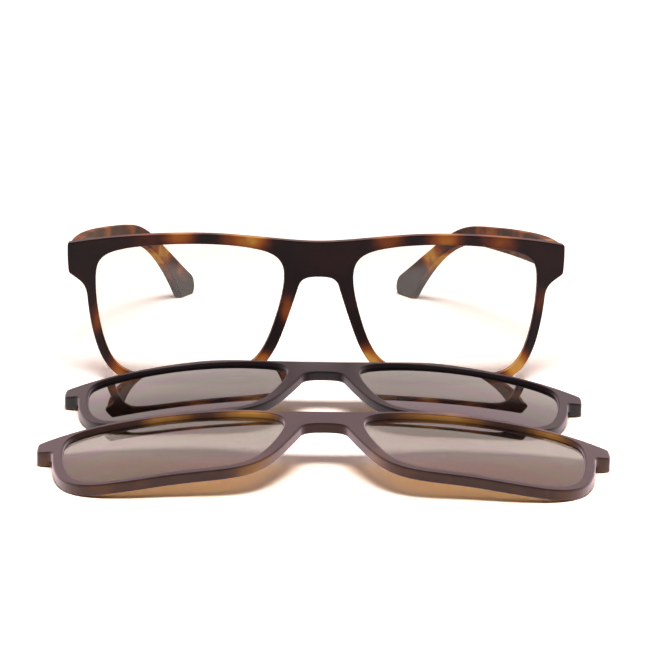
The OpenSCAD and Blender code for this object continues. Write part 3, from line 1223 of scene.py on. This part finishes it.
@dataclass
class SunClip:
    """A sun clip that lies face up on the table, on its lower rims and its lugs.

    Its x and y are where its origin lies, to the wearer's left and towards the camera, and its
    turn about the upright is in degrees. The guess is a tilt near its own, in radians, which
    finds the corner of the lug that touches the table.
    """

    word: str
    eye: EyeShape
    set_place: Matrix
    x: float
    y: float
    turn: float
    slot: Slot
    finish: Finish
    lens_finish: Finish
    lens_depth: float = -0.05
    lens_drop: float = 0.0
    lens_thickness: float = 0.8
    magnets: MagnetPlaces = MagnetPlaces()
    form: FrontForm = FrontForm(
        bridge_low=30.6, bridge_top=39.1, x_end=69.9, z_low=28.8, z_top=34.5, end_run=7, brow_run=8,
        bridge_run=16, thickness=2.6, rounding=0.5,
    )
    lug_depth: float = 3.6
    lug_from: float = 63.6
    lug_inner: float = 62.8
    lug_above: float = 27.6
    foot_below: float = 5.0
    guess: float = math.radians(7.4)

    def lying(self) -> Pair:
        """Works out how the clip lies on its lower rims and the corners of its lugs.

        Returns:
            Its tilt in radians, and the height of its own origin.
        """
        line = [point for point in self.form.outline(self.eye) if point.x > 0]
        sides = [(self.back(point), point.y) for point in line]
        lugs = [place for place, point in zip(sides, line) if self.is_lug(point)]
        foot = max(lugs, key=lambda p: p[0] * math.cos(self.guess) - p[1] * math.sin(self.guess))
        lower = [(y, z) for y, z in sides if z < self.form.z_low - self.foot_below]
        tilt = min(math.atan((foot[0] - y) / (foot[1] - z)) for y, z in lower)
        height = max(y * math.cos(tilt) - z * math.sin(tilt) for y, z in sides)
        return tilt, height

    def is_lug(self, point: Vector) -> bool:
        """Whether a point of the outline is on a lug."""
        return point.x > self.lug_inner and point.y > self.lug_above

    def back(self, point: Vector) -> float:
        """The depth of the clip's back at a point of its outline."""
        depth = self.lug_depth if self.is_lug(point) else self.form.thickness
        return self.eye.wrapped(point.x, depth)

    def build(self) -> None:
        """Builds the clip's frame and lenses, and gives its magnets their metal."""
        tilt, height = self.lying()
        place = (
            self.set_place
            @ Matrix.Translation((self.x, -self.y, height))
            @ Matrix.Rotation(math.radians(self.turn), 4, "Z")
            @ Matrix.Rotation(tilt - math.pi / 2, 4, "X")
        )
        body = f"{self.word}_clip"
        rims = WrappedPlate(self.form, self.eye, lambda x: self.lug_depth, self.lug_from, self.lug_above)
        bm = carved(rims.build(), self.cutters())
        publish(bm, f"{body}_rims", body, self.finish, place, f"{body}_frame")
        blank = LensBlank(self.eye, self.lens_depth, self.lens_thickness, self.lens_drop)
        for side in Side:
            name, node = f"{body}_sun_lens_{side.word}", f"{body}_lens_{side.word}"
            publish(blank.build(side), name, body, self.lens_finish, place, node)
            plate(f"{body}_magnet_{side.word}", MAGNET_METAL)

    def cutters(self) -> Mesh:
        """The shapes of the magnet holes in the lugs' backs.

        Returns:
            Closed shapes in one mesh.
        """
        bm = bmesh.new()
        magnets, over = self.magnets, 2 * RUN_OUT
        back = self.eye.wrapped(magnets.lug_level, self.lug_depth)
        for side in Side:
            start = (side.value * magnets.x, back + over, magnets.z)
            peg(bm, start, magnets.lug_length + over, magnets.diameter)
        return bm


@dataclass(frozen=True)
class Studio:
    """A white table in a soft tent of light, and the camera at the photograph's place.

    The camera's place is in millimetres and its angles are in degrees: its heading to the
    wearer's left of straight back, how far it looks down, and its roll. The lamp's place and
    size, and the ring over which the table starts to glow, are in metres. The paper's tones
    are linear and go above 1, as the photograph overexposes it.
    """

    camera_place: Triple = (-31.9, -623.8, 135.6)
    heading: float = 3.28
    down: float = 10.9
    roll: float = 0.75
    lens: float = 121.85
    sensor: float = 36.0
    clip: Pair = (0.05, 50.0)
    white: str = "#ffffff"
    table_radius: float = 6000.0
    table_facets: int = 96
    table: str = "#f4f1ee"
    paper: Colour = (1.6, 1.44, 1.32, 1.0)
    painted_shade_paper: Colour = (1.5, 0.86, 0.42, 1.0)
    shade_reach: float = 30.0
    shade_band: Pair = (0.1, 0.6)
    glow_ring: Pair = (0.16, 0.6)
    tent: str = "#544b4c"
    room: str = "#4a4243"
    tent_top: Pair = (0.56, 0.68)
    tent_side: Pair = (-0.35, 0.35)
    tent_tones: tuple[str, str] = ("#ffdfe6", "#faebe0")
    tone_bands: Pair = (0.35, 0.65)
    band_slant: float = 40.0
    band_scale: Triple = (3.0, 1.0, 14.0)
    lamp_place: Triple = (0.0, -0.53, 0.83)
    lamp_size: Pair = (0.45, 0.4)
    lamp_power: float = 10.0

    def build(self) -> None:
        """Builds the camera, the table and the light."""
        self.aim()
        self.lay_table()
        self.pitch_tent()
        self.hang_softbox()
        bpy.context.scene.view_settings.view_transform = "Standard"

    def aim(self) -> None:
        """Sets up the camera."""
        heading, down, roll = (math.radians(a) for a in (self.heading, self.down, self.roll))
        turn = (
            Matrix.Rotation(-heading, 4, "Z") @ Matrix.Rotation(math.pi / 2 - down, 4, "X")
            @ Matrix.Rotation(roll, 4, "Z")
        )
        camera = placed("Camera", bpy.data.cameras.new("Camera"))
        camera.data.lens = self.lens
        camera.data.sensor_width = self.sensor
        camera.data.clip_start, camera.data.clip_end = self.clip
        camera.matrix_world = Matrix.Translation(Vector(self.camera_place) * MM) @ turn
        bpy.context.scene.camera = camera

    def seen(self, tree: Tree) -> Socket:
        """Tells what the camera sees from what lights the object or is mirrored in it.

        Args:
            tree: The node tree of the table or the world.

        Returns:
            One for rays from the camera, straight or through lenses, and 0 for all others.
        """
        rays = add(tree, "LightPath").outputs
        sent = worked(tree, "Math", "MAXIMUM", rays["Is Camera Ray"], rays["Is Transmission Ray"])
        mirrored = worked(tree, "Math", "GREATER_THAN", rays["Glossy Depth"], 0.5)
        return worked(tree, "Math", "SUBTRACT", sent, mirrored, use_clamp=True)

    def lay_table(self) -> None:
        """Lays the table: white paper with soft cast shadows and painted shade, which glows where it is
        seen far away.
        """
        bm = bmesh.new()
        radius = self.table_radius * MM
        bmesh.ops.create_circle(bm, cap_ends=True, segments=self.table_facets, radius=radius)
        table = finished("table_top", bm)
        paper = bpy.data.materials.new("White paper, matt")
        paper.use_nodes = True
        self.shade_paper(paper.node_tree, paper.node_tree.nodes["Principled BSDF"])
        table.data.materials.append(paper)

    def shade_paper(self, tree: Tree, surface: bpy.types.Node) -> None:
        """Makes the paper look overexposed, while it throws no more light on the object.

        Args:
            tree: The paper's node tree.
            surface: Its Principled shader.
        """
        plain = {"Roughness": 1.0, "Specular IOR Level": 0.0, "Emission Color": linear(self.white)}
        set_all(surface, plain)
        seen = self.seen(tree)
        # Painted shade: where the pieces crowd the paper, ambient occlusion mixes a tan shade tone into
        # its seen colour
        sky = add(tree, "AmbientOcclusion", {"Distance": self.shade_reach * MM}).outputs["AO"]
        lit = ranged(tree, sky, self.shade_band, curve_kind="LINEAR")
        toned = mixed(tree, lit, self.painted_shade_paper, self.paper)
        shown = mixed(tree, seen, linear(self.table), toned)
        tree.links.new(shown, surface.inputs["Base Color"])
        place = add(tree, "TexCoord").outputs["Object"]
        away = worked(tree, "VectorMath", "LENGTH", place, output="Value")
        glow = worked(tree, "Math", "MULTIPLY", seen, ranged(tree, away, self.glow_ring))
        tree.links.new(glow, surface.inputs["Emission Strength"])

    def pitch_tent(self) -> None:
        """Makes the world: white where it is seen, and a tent of light round the object.

        The tent is pale behind the object up to its top, with faint bands of rose and straw that
        the sun lenses mirror. Above it and on the camera's side it is dark grey, so that faces
        towards the camera stay deep.
        """
        world = bpy.data.worlds.new("Tent")
        bpy.context.scene.world = world
        world.use_nodes = True
        tree = world.node_tree
        way = add(tree, "TexCoord").outputs["Generated"]
        split = add(tree, "SeparateXYZ", {0: way}).outputs
        above = ranged(tree, split["Z"], self.tent_top)
        behind = ranged(tree, split["Y"], self.tent_side)
        slant = (0.0, math.radians(self.band_slant), 0.0)
        bent = add(tree, "Mapping", {"Vector": way, "Rotation": slant, "Scale": self.band_scale})
        flow = {"Scale": 1.0, "Detail": 1.0, "Vector": bent.outputs[0]}
        bands = ranged(tree, add(tree, "TexNoise", flow).outputs[0], self.tone_bands)
        rose, straw = (linear(colour) for colour in self.tent_tones)
        back = mixed(tree, above, mixed(tree, bands, rose, straw), linear(self.tent))
        tent = mixed(tree, behind, linear(self.room), back)
        shown = mixed(tree, self.seen(tree), tent, linear(self.white))
        tree.links.new(shown, tree.nodes["Background"].inputs["Color"])

    def hang_softbox(self) -> None:
        """Hangs a soft lamp above and before the set, so that shadows fall behind the pieces."""
        lamp = bpy.data.lights.new("Softbox", "AREA")
        lamp.shape = "RECTANGLE"
        lamp.size, lamp.size_y = self.lamp_size
        lamp.energy = self.lamp_power
        box = placed("Softbox", lamp)
        place = Vector(self.lamp_place)
        turn = place.to_track_quat("Z", "Y").to_matrix().to_4x4()
        box.matrix_world = Matrix.Translation(place) @ turn
        box.visible_glossy = False


def main() -> None:
    """Builds the eyeglasses, the clips and the studio, in that order."""
    logging.basicConfig(level=logging.INFO, format="%(name)s: %(message)s")
    eye = EyeShape()
    set_place = Matrix.Translation(SPECTACLES_PLACE)
    OpticalFront(eye, set_place).build()
    for side in Side:
        Temple(side, eye, set_place).build()
        Hinge(side).dress()
    SunClip(
        "black", eye, set_place, x=-2.1, y=63.5, turn=-3.5, slot=Slot.BLACK, finish=BLACK_ACETATE,
        lens_finish=GREY_SUN_LENS,
    ).build()
    SunClip(
        "tortoise", eye, set_place, x=-4.7, y=123.0, turn=-2.7, slot=Slot.BROWN, finish=BROWN_ACETATE,
        lens_finish=BROWN_SUN_LENS, lens_depth=-0.35, lens_drop=5.0,
    ).build()
    Studio().build()


if __name__ == "__main__":
    main()
